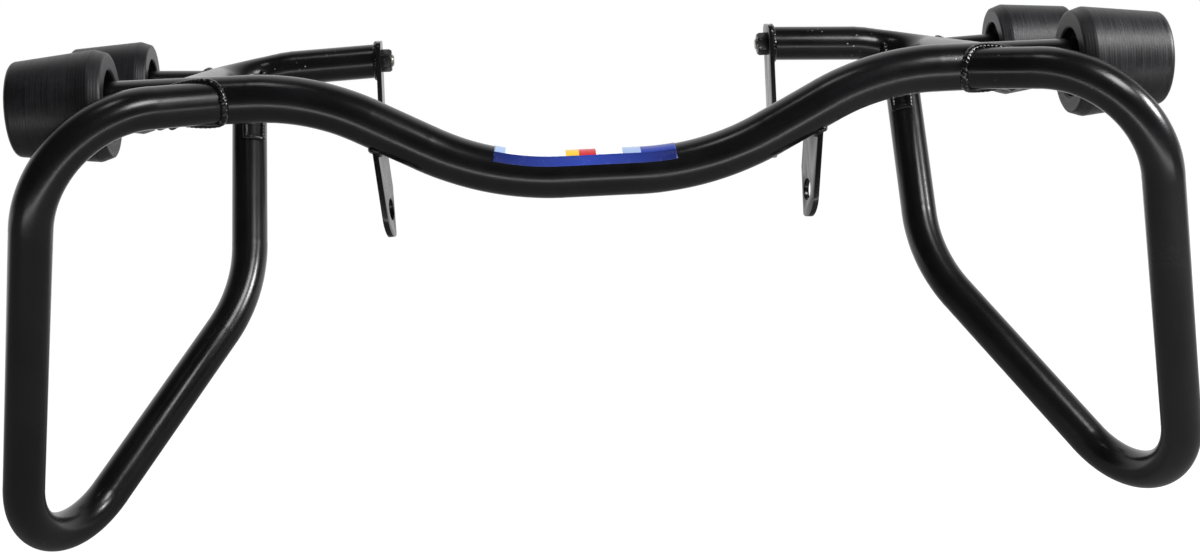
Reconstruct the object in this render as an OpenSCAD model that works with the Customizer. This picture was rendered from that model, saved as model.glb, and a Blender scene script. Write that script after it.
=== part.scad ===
// Crash bars for a motorcycle: a bent cross tube, two side loops, rear rails and four slider pucks.
// Millimetres. Z is up, X runs across the machine, Y runs back from the cross tube.
// The origin is the middle of the line between the cross tube's two level ends.

/* [Cross tube] */
// Outside diameter of the cross tube
cross_diameter = 25.4; // [19:0.1:38]
// Wall of the cross tube
cross_wall = 2; // [1.2:0.1:3]
// Half the width between the outer bend corners
outer_corner = 151.5; // [120:0.5:190]
// Half the width between the lower bend corners
lower_corner = 59; // [45:0.5:90]
// Fall from the level ends to the middle
middle_fall = 47.8; // [20:0.1:70]
// Bend radius beside the level ends
outer_bend = 130.5; // [80:0.5:150]
// Bend radius beside the middle
lower_bend = 155; // [90:0.5:170]

/* [Side loops] */
// Outside diameter of the loops, rails and rear stubs
loop_diameter = 22.2; // [16:0.1:28]
// Wall of the loops, rails and rear stubs
loop_wall = 1.6; // [1.2:0.1:2.5]
// Where the loop's axis starts inside the cross tube
loop_root = [190, 0, -0.8]; // [-400:0.1:400]
// Corner in front of the slider
loop_front = [280.6, -63.4, 0]; // [-400:0.1:400]
// Corner at the foot of the loop
loop_foot = [337.3, 23.2, -289.3]; // [-400:0.1:400]
// Corner below the rear rail
loop_rear = [214.7, 161, -132.6]; // [-400:0.1:400]
// Where the loop's axis ends inside the rear rail
loop_top = [215.2, 233.9, -10.5]; // [-400:0.1:400]
// Bend radii at the front, foot and rear corners
loop_bends = [70, 48, 110]; // [30:0.5:120]

/* [Rear rails] */
// Rail axis at the mounting plate
rail_end = [130, 246, 3.4]; // [-400:0.1:400]
// Corner where the rail starts to fall
rail_dip = [190, 246, 1]; // [-400:0.1:400]
// Corner where the rail turns forward
rail_turn = [232.5, 246, -6.5]; // [-400:0.1:400]
// Rail axis inside the cross tube
rail_root = [229, 4, -2]; // [-400:0.1:400]
// Bend radii at the dip and at the turn
rail_bends = [46, 34]; // [25:0.5:80]
// Rear stub axis beside the rail
stub_root = [232, 217, -7.8]; // [-400:0.1:400]
// Rise of the rear stub toward its slider, degrees
stub_rise = 2.4; // [0:0.1:12]

/* [Sliders] */
// Largest diameter of a slider
slider_diameter = 59; // [45:0.5:75]
// Length of a slider
slider_length = 50; // [35:1:80]
// Taper of a slider toward its outer end, degrees
slider_taper = 6.2; // [0:0.1:12]
// Distance from the middle to a front slider's inner face
front_slider_start = 256; // [250:0.5:280]
// Distance along the rear stub to a rear slider's inner face
rear_slider_start = 42.3; // [32:0.1:70]
// How far the tube goes into a slider
slider_seat = 33; // [20:0.5:40]
// Diameter of the slider bolt
bolt_diameter = 10; // [8:1:12]

/* [Mounting plates and tabs] */
// Thickness of the plates and tabs
plate_thickness = 3; // [2:0.5:6]
// Width of a rear plate
plate_width = 28; // [24:0.5:40]
// Length of a rear plate
plate_length = 90; // [60:1:120]
// Part of a rear plate above the rail's axis
plate_above = 12.8; // [5:0.1:15]
// Lean of a rear plate, degrees
plate_lean = 1.2; // [0:0.1:8]
// Diameter of the hole low in a rear plate
plate_hole = 10.5; // [6:0.1:14]
// Diameter of the fixing bolt behind a rear plate
stud_diameter = 8; // [6:1:12]
// Distance from the middle to a tab, on the cross tube's axis
tab_offset = 119; // [100:0.5:140]
// Distance of a tab's middle behind the cross tube's axis
tab_back = 9; // [0:0.5:12]
// Width of a tab
tab_width = 25; // [20:0.5:36]
// Length of a tab below the cross tube's axis
tab_length = 62; // [50:0.5:90]
// Diameter of the hole in a tab
tab_hole = 12; // [6:0.1:14]
// Distance from the tab's end to its hole
tab_hole_margin = 15; // [10:0.5:25]
// Lean of a tab toward the middle, degrees
tab_lean = 5; // [0:0.1:12]
// Turn of a tab about the vertical, degrees
tab_turn = 8; // [0:0.1:12]

/* [Welds and label] */
// Height of the large weld beads
bead = 3; // [1.5:0.1:5]
// Height of the small weld beads
small_bead = 2.2; // [1:0.1:4]
// Span of the label left and right of the middle
label_span = [-59, 42]; // [-90:1:90]
// Angles the label covers, from behind the top of the tube toward the front
label_arc = [-12, 64]; // [-40:1:120]
// Thickness of the label film
label_film = 0.25; // [0.1:0.05:0.5]

/* [Hidden] */
cross_radius = cross_diameter / 2;
loop_radius = loop_diameter / 2;
front_tube_end = front_slider_start + slider_seat;
slope = atan2(middle_fall, outer_corner - lower_corner);
flat_half = round(100 * (lower_corner - lower_bend * tan(slope / 2))) / 100;
loop_corners = [loop_root, loop_front, loop_foot, loop_rear, loop_top];
rail_corners = [rail_end, rail_dip, rail_turn, rail_root];
rail_spare = 6;
rail_cap = [rail_end - rail_spare * unit(rail_dip - rail_end), rail_dip, rail_turn, rail_root];
tab_axis_fall = (outer_corner - tab_offset) * tan(slope);
hex_ratio = 2 / sqrt(3);
witness_height = 0.03;
witness_length = 0.6;
fine = 96;
steel = [0.09, 0.09, 0.1];
weld_grey = [0.16, 0.16, 0.17];
nylon = [0.13, 0.13, 0.14];
zinc = [0.66, 0.66, 0.64];
film = [0.25, 0.35, 0.6];

function unit(v) = v / norm(v);
function heading(c, i) = unit(c[i + 1] - c[i]);
function turning(c, i) = acos(heading(c, i - 1) * heading(c, i));
function at_end(c, i) = i == 0 || i == len(c) - 1;
function setback(c, bends, i) = at_end(c, i) ? 0 : bends[i - 1] * tan(turning(c, i) / 2);
function cone_radius(z) = slider_diameter / 2 - (z - slider_lip) * tan(slider_taper);

slider_lip = 6.5;
slider_face_step = 2;
slider_edge = 3;
slider_recess_radius = 18.5;
slider_recess_depth = 6;
slider_web = 8;
slider_pocket_radius = 15;
bush_length = 22;
washer_radius = 12;
washer_thickness = 2;
head_height = 6.4;
head_across = 17;
bolt_reach = 20;
nut_across = 13;
nut_height = 6.5;
stud_head = 5.3;
stud_past_nut = 1.5;
play = 0.1;

module straight_rod(from, to, r) {
    run = to - from;
    translate(from)
        rotate(a = acos(run[2] / norm(run)), v = cross([0, 0, 1], run))
            cylinder(r = r, h = norm(run), $fn = fine);
}

module round_bend(c, bends, i, r) {
    along = heading(c, i - 1);
    normal = unit(cross(along, heading(c, i)));
    inward = cross(normal, along);
    centre = c[i] - along * setback(c, bends, i) + inward * bends[i - 1];
    multmatrix([
        [-inward[0], along[0], normal[0], centre[0]],
        [-inward[1], along[1], normal[1], centre[1]],
        [-inward[2], along[2], normal[2], centre[2]],
        [0, 0, 0, 1]
    ])
        rotate_extrude(angle = turning(c, i), $fn = fine)
            translate([bends[i - 1], 0])
                circle(r = r, $fn = fine);
}

// The fine ring the bending tool leaves where a bend begins; it also joins the bend to the straight run.
module witness_ring(at, along, r) {
    half = along * witness_length / 2;
    straight_rod(at - half, at + half, r + witness_height);
}

module bent_rod(c, bends, r) {
    for (i = [0 : len(c) - 2]) {
        start = c[i] + heading(c, i) * setback(c, bends, i);
        finish = c[i + 1] - heading(c, i) * setback(c, bends, i + 1);
        straight_rod(start, finish, r);
    }
    for (i = [1 : len(c) - 2]) {
        round_bend(c, bends, i, r);
        witness_ring(c[i] - heading(c, i - 1) * setback(c, bends, i), heading(c, i - 1), r);
        witness_ring(c[i] + heading(c, i) * setback(c, bends, i), heading(c, i), r);
    }
}

module level_rod(from, to, r) {
    translate([from, 0, 0])
        rotate([0, 90, 0])
            cylinder(r = r, h = to - from, $fn = fine);
}

module cross_rod(r, reach) {
    bent_rod([
        [-reach, 0, 0], [-outer_corner, 0, 0], [-lower_corner, 0, -middle_fall],
        [lower_corner, 0, -middle_fall], [outer_corner, 0, 0], [reach, 0, 0]
    ], [outer_bend, lower_bend, lower_bend, outer_bend], r);
}

// The sloping run of the cross tube that a tab sits under.
module slope_rod(r) {
    straight_rod([lower_corner, 0, -middle_fall], [outer_corner, 0, 0], r);
}

module on_stub_axis() {
    translate(stub_root)
        rotate([0, 90 - stub_rise, 0])
            children();
}

module stub_rod(r, length) {
    on_stub_axis()
        cylinder(r = r, h = length, $fn = fine);
}

module on_plate() {
    translate(rail_end)
        rotate([0, -plate_lean, 0])
            children();
}

module on_tab() {
    translate([tab_offset, tab_back, -tab_axis_fall])
        rotate([0, tab_lean, 0])
            rotate([0, 0, tab_turn])
                children();
}

module front_slider_place() {
    translate([front_slider_start, 0, 0])
        rotate([0, 90, 0])
            children();
}

module rear_slider_place() {
    on_stub_axis()
        translate([0, 0, rear_slider_start])
            children();
}

module other_side() {
    mirror([1, 0, 0])
        children();
}

module loop_shape() {
    difference() {
        bent_rod(loop_corners, loop_bends, loop_radius);
        bent_rod(loop_corners, loop_bends, loop_radius - loop_wall);
        level_rod(150, front_tube_end, cross_radius);
        bent_rod(rail_cap, rail_bends, loop_radius);
    }
}

module rail_shape() {
    difference() {
        bent_rod(rail_corners, rail_bends, loop_radius);
        bent_rod(rail_cap, rail_bends, loop_radius - loop_wall);
        level_rod(150, front_tube_end, cross_radius);
        on_plate()
            translate([plate_thickness / 2 - 20, -20, -20])
                cube([20, 40, 40]);
    }
}

module stub_shape() {
    difference() {
        stub_rod(loop_radius, rear_slider_start + slider_seat);
        stub_rod(loop_radius - loop_wall, rear_slider_start + slider_seat + 1);
        bent_rod(rail_cap, rail_bends, loop_radius);
    }
}

module plate_outline() {
    half = plate_width / 2;
    corner = 6;
    low = plate_above - plate_length + half;
    translate([0, low])
        circle(r = half, $fn = fine);
    translate([-half, low])
        square([plate_width, plate_above - corner - low]);
    translate([corner - half, plate_above - corner - 1])
        square([plate_width - 2 * corner, corner + 1]);
    for (side = [-1, 1])
        translate([side * (half - corner), plate_above - corner])
            circle(r = corner, $fn = fine);
}

module plate_shape() {
    low_hole = plate_above - plate_length + plate_width / 2;
    on_plate()
        rotate([90, 0, 90])
            translate([0, 0, -plate_thickness / 2])
                linear_extrude(plate_thickness)
                    difference() {
                        plate_outline();
                        circle(d = stud_diameter + 2 * play, $fn = fine);
                        translate([0, low_hole])
                            circle(d = plate_hole, $fn = fine);
                    }
}

module tab_outline(grow) {
    half = tab_width / 2 + grow;
    low = tab_width / 2 - tab_length;
    translate([0, low])
        circle(r = half, $fn = fine);
    translate([-half, low])
        square([2 * half, -low]);
}

module tab_shape() {
    taper_from = 26 - tab_length;
    shoulder_from = cross_radius - tab_back;
    shoulder_fall = 12;
    difference() {
        on_tab()
            rotate([90, 0, 90])
                translate([0, 0, -plate_thickness / 2])
                    linear_extrude(plate_thickness)
                        difference() {
                            tab_outline(0);
                            translate([0, tab_hole_margin - tab_length])
                                circle(d = tab_hole, $fn = fine);
                            polygon([
                                [tab_width / 2, taper_from], [tab_width / 2 + 1, taper_from],
                                [tab_width / 2 + 1, -tab_length - 1], [3, -tab_length - 1]
                            ]);
                            polygon([
                                [shoulder_from, 1], [tab_width / 2 + 1, 1],
                                [tab_width / 2 + 1, -shoulder_fall], [shoulder_from, 0]
                            ]);
                        }
        slope_rod(cross_radius);
    }
}

module slider_shape(tube_radius) {
    web_top = slider_seat + slider_web;
    edge_z = slider_length - slider_edge;
    edge_r = cone_radius(edge_z) - slider_edge;
    edge = [for (a = [0 : 15 : 90]) [edge_r + slider_edge * cos(a), edge_z + slider_edge * sin(a)]];
    rotate_extrude($fn = fine)
        polygon(concat([
            [slider_recess_radius, 0], [slider_recess_radius, slider_recess_depth],
            [tube_radius + play, slider_recess_depth], [tube_radius + play, slider_seat],
            [bolt_diameter / 2 + 3 * play, slider_seat], [bolt_diameter / 2 + 3 * play, web_top],
            [slider_pocket_radius, web_top], [slider_pocket_radius, slider_length]
        ], [for (k = [len(edge) - 1 : -1 : 0]) edge[k]], [
            [slider_diameter / 2, slider_lip], [slider_diameter / 2 - slider_face_step, 0]
        ]));
}

module bush_shape(radius) {
    translate([0, 0, slider_seat - bush_length])
        difference() {
            cylinder(r = radius, h = bush_length, $fn = fine);
            translate([0, 0, -1])
                cylinder(d = bolt_diameter, h = bush_length + 2, $fn = fine);
        }
}

module washer_shape() {
    translate([0, 0, slider_seat + slider_web])
        difference() {
            cylinder(r = washer_radius, h = washer_thickness, $fn = fine);
            translate([0, 0, -1])
                cylinder(d = bolt_diameter + 4 * play, h = washer_thickness + 2, $fn = fine);
        }
}

module bolt_shape() {
    head_base = slider_seat + slider_web + washer_thickness;
    socket_depth = 4;
    socket_across = 8;
    difference() {
        union() {
            translate([0, 0, slider_seat - bolt_reach])
                cylinder(d = bolt_diameter - play, h = head_base - slider_seat + bolt_reach + 0.5, $fn = fine);
            intersection() {
                translate([0, 0, head_base])
                    cylinder(d = head_across * hex_ratio, h = head_height, $fn = 6);
                translate([0, 0, head_base])
                    cylinder(r1 = head_across * 0.64, r2 = head_across * 0.5, h = head_height, $fn = fine);
            }
        }
        translate([0, 0, head_base + head_height - socket_depth])
            cylinder(d = socket_across * hex_ratio, h = socket_depth + 1, $fn = 6);
    }
}

module plate_bolt_shape() {
    shank = plate_thickness + nut_height + stud_past_nut;
    on_plate()
        translate([plate_thickness / 2, 0, 0])
            rotate([0, 90, 0]) {
                cylinder(d = nut_across * hex_ratio, h = stud_head, $fn = 6);
                translate([0, 0, 1 - shank])
                    cylinder(d = stud_diameter, h = shank, $fn = fine);
                translate([0, 0, -shank])
                    cylinder(d1 = stud_diameter - 2, d2 = stud_diameter, h = 1, $fn = fine);
            }
}

module plate_nut_shape() {
    on_plate()
        translate([-plate_thickness / 2 - nut_height, 0, 0])
            rotate([0, 90, 0])
                difference() {
                    intersection() {
                        cylinder(d = nut_across * hex_ratio, h = nut_height, $fn = 6);
                        cylinder(r1 = nut_across * 0.51, r2 = nut_across * 0.8, h = nut_height, $fn = fine);
                    }
                    translate([0, 0, -1])
                        cylinder(d = stud_diameter + play, h = nut_height + 2, $fn = fine);
                }
}

module saddle_weld_shape() {
    lead = heading(loop_corners, 0) * bead;
    start = loop_root - lead;
    widened = [start, loop_front, loop_foot];
    difference() {
        intersection() {
            level_rod(180, front_slider_start - 5, cross_radius + bead);
            bent_rod(widened, [loop_bends[0]], loop_radius + bead);
        }
        level_rod(170, front_slider_start, cross_radius);
        bent_rod([loop_root, loop_front, loop_foot], [loop_bends[0]], loop_radius);
    }
}

module rail_weld_shape() {
    difference() {
        intersection() {
            level_rod(205, front_slider_start - 5, cross_radius + small_bead);
            straight_rod(rail_root, rail_turn, loop_radius + small_bead);
        }
        level_rod(200, front_slider_start, cross_radius);
        straight_rod(rail_root, rail_turn, loop_radius);
    }
}

module leg_weld_shape() {
    difference() {
        intersection() {
            bent_rod(rail_cap, rail_bends, loop_radius + small_bead);
            straight_rod(loop_rear, loop_top, loop_radius + small_bead);
        }
        bent_rod(rail_cap, rail_bends, loop_radius);
        straight_rod(loop_rear, loop_top, loop_radius);
    }
}

module stub_weld_shape() {
    difference() {
        intersection() {
            bent_rod(rail_cap, rail_bends, loop_radius + bead);
            stub_rod(loop_radius + bead, rear_slider_start);
        }
        bent_rod(rail_cap, rail_bends, loop_radius);
        stub_rod(loop_radius, rear_slider_start);
        straight_rod(loop_rear, loop_top, loop_radius + small_bead + play);
    }
}

module plate_weld_shape() {
    face = plate_thickness / 2;
    difference() {
        on_plate()
            translate([face, 0, 0])
                rotate([0, 90, 0])
                    cylinder(r1 = loop_radius + small_bead, r2 = loop_radius - 1, h = small_bead + 1.5, $fn = fine);
        bent_rod(rail_cap, rail_bends, loop_radius);
    }
}

module tab_weld_shape() {
    difference() {
        intersection() {
            slope_rod(cross_radius + small_bead);
            on_tab()
                rotate([90, 0, 90])
                    translate([0, 0, -plate_thickness / 2 - small_bead])
                        linear_extrude(plate_thickness + 2 * small_bead)
                            tab_outline(small_bead);
        }
        slope_rod(cross_radius);
        on_tab()
            rotate([90, 0, 90])
                translate([0, 0, -plate_thickness / 2])
                    linear_extrude(plate_thickness)
                        tab_outline(0);
    }
}

// Section of the label film on the tube: up is the first axis, the front is the second.
module label_section() {
    reach = cross_diameter;
    middle = (label_arc[0] + label_arc[1]) / 2;
    intersection() {
        difference() {
            circle(r = cross_radius + label_film, $fn = fine);
            circle(r = cross_radius, $fn = fine);
        }
        polygon([
            [0, 0], [reach * cos(label_arc[0]), reach * sin(label_arc[0])],
            [reach * 1.2 * cos(middle), reach * 1.2 * sin(middle)],
            [reach * cos(label_arc[1]), reach * sin(label_arc[1])]
        ]);
    }
}

module label_bend(span) {
    rotate([90, 0, 0])
        translate([0, lower_bend - middle_fall, 0])
            rotate([0, 0, -90])
                rotate_extrude(angle = asin((span - flat_half) / lower_bend), $fn = fine)
                    translate([lower_bend, 0])
                        mirror([1, 0])
                            label_section();
}

module label() {
    color(film) {
        translate([-flat_half, 0, -middle_fall])
            rotate(a = 180, v = [1, 0, 1])
                linear_extrude(2 * flat_half)
                    label_section();
        translate([flat_half, 0, 0])
            label_bend(label_span[1]);
        mirror([1, 0, 0])
            translate([flat_half, 0, 0])
                label_bend(-label_span[0]);
    }
}

module cross_tube() {
    color(steel)
        difference() {
            cross_rod(cross_radius, front_tube_end);
            cross_rod(cross_radius - cross_wall, front_tube_end + 1);
        }
}

module loop_tube_right() { color(steel) loop_shape(); }
module loop_tube_left() { color(steel) other_side() loop_shape(); }
module rear_rail_right() { color(steel) rail_shape(); }
module rear_rail_left() { color(steel) other_side() rail_shape(); }
module rear_stub_right() { color(steel) stub_shape(); }
module rear_stub_left() { color(steel) other_side() stub_shape(); }
module mount_plate_right() { color(steel) plate_shape(); }
module mount_plate_left() { color(steel) other_side() plate_shape(); }
module frame_tab_right() { color(steel) tab_shape(); }
module frame_tab_left() { color(steel) other_side() tab_shape(); }
module front_slider_right() { color(nylon) front_slider_place() slider_shape(cross_radius); }
module front_slider_left() { color(nylon) other_side() front_slider_place() slider_shape(cross_radius); }
module rear_slider_right() { color(nylon) rear_slider_place() slider_shape(loop_radius); }
module rear_slider_left() { color(nylon) other_side() rear_slider_place() slider_shape(loop_radius); }
module front_bush_right() { color(zinc) front_slider_place() bush_shape(cross_radius - cross_wall); }
module front_bush_left() { color(zinc) other_side() front_slider_place() bush_shape(cross_radius - cross_wall); }
module rear_bush_right() { color(zinc) rear_slider_place() bush_shape(loop_radius - loop_wall); }
module rear_bush_left() { color(zinc) other_side() rear_slider_place() bush_shape(loop_radius - loop_wall); }
module front_washer_right() { color(zinc) front_slider_place() washer_shape(); }
module front_washer_left() { color(zinc) other_side() front_slider_place() washer_shape(); }
module rear_washer_right() { color(zinc) rear_slider_place() washer_shape(); }
module rear_washer_left() { color(zinc) other_side() rear_slider_place() washer_shape(); }
module front_bolt_right() { color(zinc) front_slider_place() bolt_shape(); }
module front_bolt_left() { color(zinc) other_side() front_slider_place() bolt_shape(); }
module rear_bolt_right() { color(zinc) rear_slider_place() bolt_shape(); }
module rear_bolt_left() { color(zinc) other_side() rear_slider_place() bolt_shape(); }
module plate_bolt_right() { color(zinc) plate_bolt_shape(); }
module plate_bolt_left() { color(zinc) other_side() plate_bolt_shape(); }
module plate_nut_right() { color(zinc) plate_nut_shape(); }
module plate_nut_left() { color(zinc) other_side() plate_nut_shape(); }
module saddle_weld_right() { color(weld_grey) saddle_weld_shape(); }
module saddle_weld_left() { color(weld_grey) other_side() saddle_weld_shape(); }
module rail_weld_right() { color(weld_grey) rail_weld_shape(); }
module rail_weld_left() { color(weld_grey) other_side() rail_weld_shape(); }
module leg_weld_right() { color(weld_grey) leg_weld_shape(); }
module leg_weld_left() { color(weld_grey) other_side() leg_weld_shape(); }
module stub_weld_right() { color(weld_grey) stub_weld_shape(); }
module stub_weld_left() { color(weld_grey) other_side() stub_weld_shape(); }
module plate_weld_right() { color(weld_grey) plate_weld_shape(); }
module plate_weld_left() { color(weld_grey) other_side() plate_weld_shape(); }
module tab_weld_right() { color(weld_grey) tab_weld_shape(); }
module tab_weld_left() { color(weld_grey) other_side() tab_weld_shape(); }

cross_tube();
loop_tube_left();
loop_tube_right();
rear_rail_left();
rear_rail_right();
rear_stub_left();
rear_stub_right();
mount_plate_left();
mount_plate_right();
frame_tab_left();
frame_tab_right();
front_slider_left();
front_slider_right();
rear_slider_left();
rear_slider_right();
front_bush_left();
front_bush_right();
rear_bush_left();
rear_bush_right();
front_washer_left();
front_washer_right();
rear_washer_left();
rear_washer_right();
front_bolt_left();
front_bolt_right();
rear_bolt_left();
rear_bolt_right();
plate_bolt_left();
plate_bolt_right();
plate_nut_left();
plate_nut_right();
saddle_weld_left();
saddle_weld_right();
rail_weld_left();
rail_weld_right();
leg_weld_left();
leg_weld_right();
stub_weld_left();
stub_weld_right();
plate_weld_left();
plate_weld_right();
tab_weld_left();
tab_weld_right();
label();
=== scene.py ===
# Welded crash bars for a motorcycle: bent tubes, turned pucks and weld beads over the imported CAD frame.
# Lengths in the dictionaries are millimetres; +X is the photo's right, +Y runs back, +Z is up.
import math
import numpy as np
import bpy
import bmesh
from mathutils import Matrix


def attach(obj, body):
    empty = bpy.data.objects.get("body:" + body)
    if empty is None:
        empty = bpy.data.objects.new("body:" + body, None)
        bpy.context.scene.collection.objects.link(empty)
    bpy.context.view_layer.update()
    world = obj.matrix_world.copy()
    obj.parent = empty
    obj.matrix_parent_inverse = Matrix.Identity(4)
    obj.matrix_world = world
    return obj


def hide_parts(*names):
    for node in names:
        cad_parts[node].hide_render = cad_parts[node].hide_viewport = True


mm = 0.001
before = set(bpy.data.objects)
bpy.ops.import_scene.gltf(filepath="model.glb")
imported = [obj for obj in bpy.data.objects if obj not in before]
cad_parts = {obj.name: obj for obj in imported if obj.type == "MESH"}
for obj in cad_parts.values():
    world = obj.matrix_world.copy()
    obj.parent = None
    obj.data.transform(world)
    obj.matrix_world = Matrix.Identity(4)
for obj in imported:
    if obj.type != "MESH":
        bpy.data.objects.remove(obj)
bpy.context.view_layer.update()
sides = {"right": 1.0, "left": -1.0}
print("frame loaded,", len(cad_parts), "solids")


# ---- numbers and meshes

def unit(v):
    v = np.asarray(v, float)
    return v / np.linalg.norm(v, axis=-1, keepdims=True)


def smoothStep(a, b, x):
    # 0 below a, 1 above b, with the cubic 3t^2 - 2t^3 between
    t = np.clip((x - a) / (b - a), 0.0, 1.0)
    return t * t * (3.0 - 2.0 * t)


def flipped(points, side):
    # the left side is the right side with X turned over
    return np.asarray(points, float) * np.array([side, 1.0, 1.0])


def makeMesh(name, verts, quads, tris, uv):
    # verts in mm; quads and tris are index arrays; uv has one row per face corner, quads first
    mesh = bpy.data.meshes.new(name)
    loops = np.concatenate([quads.reshape(-1), tris.reshape(-1)]).astype(np.int32)
    totals = np.concatenate([np.full(len(quads), 4), np.full(len(tris), 3)]).astype(np.int32)
    starts = np.concatenate([[0], np.cumsum(totals)[:-1]]).astype(np.int32)
    mesh.vertices.add(len(verts))
    mesh.vertices.foreach_set("co", (np.asarray(verts, np.float32) * mm).ravel())
    mesh.loops.add(len(loops))
    mesh.loops.foreach_set("vertex_index", loops)
    mesh.polygons.add(len(totals))
    mesh.polygons.foreach_set("loop_start", starts)
    mesh.polygons.foreach_set("loop_total", totals)
    mesh.polygons.foreach_set("use_smooth", np.ones(len(totals), bool))
    layer = mesh.uv_layers.new(name="surface")
    layer.data.foreach_set("uv", (np.asarray(uv, np.float32) * mm).ravel())
    mesh.update(calc_edges=True)
    mesh.validate()
    piece = bpy.data.objects.new(name, mesh)
    bpy.context.scene.collection.objects.link(piece)
    return piece


def gridFaces(rows, cols, rowsClosed):
    # quads between neighbouring rows and columns, wound so that (column step) x (row step) points outwards
    i, j = np.meshgrid(np.arange(rows if rowsClosed else rows - 1), np.arange(cols), indexing="ij")
    i2, j2 = (i + 1) % rows, (j + 1) % cols
    quads = np.stack([i * cols + j, i * cols + j2, i2 * cols + j2, i2 * cols + j], -1).reshape(-1, 4)
    return quads, i.reshape(-1), j.reshape(-1)


def gridPiece(name, points, u, v, rowsClosed=False):
    # points (rows, cols, 3) with closed columns; u has cols + 1 values, v rows, or rows + 1 where they close
    rows, cols = points.shape[:2]
    quads, i, j = gridFaces(rows, cols, rowsClosed)
    uv = np.stack([np.stack([u[j], v[i]], -1), np.stack([u[j + 1], v[i]], -1),
                   np.stack([u[j + 1], v[i + 1]], -1), np.stack([u[j], v[i + 1]], -1)], 1).reshape(-1, 2)
    verts = points.reshape(-1, 3)
    tris = np.zeros((0, 3), int)
    if not rowsClosed:
        # a fan to a middle point closes each end
        k = np.arange(cols)
        after = (k + 1) % cols
        top = (rows - 1) * cols
        first, last = len(verts), len(verts) + 1
        verts = np.concatenate([verts, points[0].mean(0)[None], points[-1].mean(0)[None]])
        tris = np.concatenate([np.stack([np.full(cols, first), after, k], -1),
                               np.stack([np.full(cols, last), top + k, top + after], -1)])
        uv = np.concatenate([uv, np.zeros((len(tris) * 3, 2))])
    return makeMesh(name, verts, quads, tris, uv)


# ---- materials

def toLinear(text):
    # sRGB hex to linear: x / 12.92 below 0.04045, else ((x + 0.055) / 1.055) ^ 2.4
    c = np.array([int(text[k:k + 2], 16) for k in (1, 3, 5)]) / 255.0
    c = np.where(c <= 0.04045, c / 12.92, ((c + 0.055) / 1.055) ** 2.4)
    return (float(c[0]), float(c[1]), float(c[2]), 1.0)


def addNode(tree, kind, settings=None, links=None):
    # adds one node; a setting is an input's name or number, or the node's own property
    node = tree.nodes.new(kind)
    for key, value in (settings or {}).items():
        if isinstance(key, str) and hasattr(node, key):
            setattr(node, key, value)
    for key, value in (settings or {}).items():
        if key == "stops":
            while len(node.color_ramp.elements) < len(value):
                node.color_ramp.elements.new(0.5)
            for stop, (at, colour) in zip(node.color_ramp.elements, value):
                stop.position = at
                stop.color = colour
        elif key == "steps":
            node.color_ramp.interpolation = value
        elif not (isinstance(key, str) and hasattr(node, key)):
            node.inputs[key].default_value = value
    for key, source in (links or {}).items():
        tree.links.new(source, node.inputs[key])
    return node


def newMaterial(name):
    material = bpy.data.materials.new(name)
    material.use_nodes = True
    material.node_tree.nodes.clear()
    return material, material.node_tree


def finishMaterial(tree, shader):
    addNode(tree, "ShaderNodeOutputMaterial", None, {"Surface": shader})


def principled(tree, settings, colour, roughness, normal, more=None):
    links = {"Base Color": colour, "Roughness": roughness, "Normal": normal, **(more or {})}
    finishMaterial(tree, addNode(tree, "ShaderNodeBsdfPrincipled", settings, links).outputs["BSDF"])


def noise(tree, where, size, detail, roughness):
    # clouds; each Noise entry of a dictionary is their size in mm, detail and roughness
    settings = {"Scale": 1.0 / (size * mm), "Detail": detail, "Roughness": roughness}
    return addNode(tree, "ShaderNodeTexNoise", settings, {"Vector": where}).outputs["Fac"]


def mapped(tree, value, span, to=(0.0, 1.0), kind="LINEAR"):
    # one span stretched onto another and held at its ends
    settings = {"interpolation_type": kind, "From Min": span[0], "From Max": span[1],
                "To Min": to[0], "To Max": to[1]}
    return addNode(tree, "ShaderNodeMapRange", settings, {"Value": value}).outputs["Result"]


def dots(tree, where, spacing, span, kind="LINEAR"):
    # round dots about that many mm apart; span gives a dot's rim and its full middle as shares of the spacing
    settings = {"Scale": 1.0 / (spacing * mm), "Randomness": 1.0}
    cell = addNode(tree, "ShaderNodeTexVoronoi", settings, {"Vector": where})
    return mapped(tree, cell.outputs["Distance"], span, kind=kind)


def maths(tree, operation, *values):
    # one math node; each value is a number or another node's output
    numbers = {k: x for k, x in enumerate(values) if isinstance(x, (int, float))}
    sources = {k: x for k, x in enumerate(values) if k not in numbers}
    return addNode(tree, "ShaderNodeMath", {"operation": operation, **numbers}, sources).outputs[0]


def mixedColour(tree, share, first, second):
    # first where share is 0, second where it is 1; each is an sRGB hex colour or another node's output
    fixed = {k: toLinear(x) for k, x in ((6, first), (7, second)) if isinstance(x, str)}
    sources = {k: x for k, x in ((0, share), (6, first), (7, second)) if k not in fixed}
    return addNode(tree, "ShaderNodeMix", {"data_type": "RGBA", **fixed}, sources).outputs[2]


def bumped(tree, height, depth, under=None):
    # the normal over a height field of the given depth in mm, on top of another bump where there is one
    links = {"Height": height} if under is None else {"Height": height, "Normal": under}
    return addNode(tree, "ShaderNodeBump", {"Strength": 1.0, "Distance": depth * mm}, links).outputs["Normal"]


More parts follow.
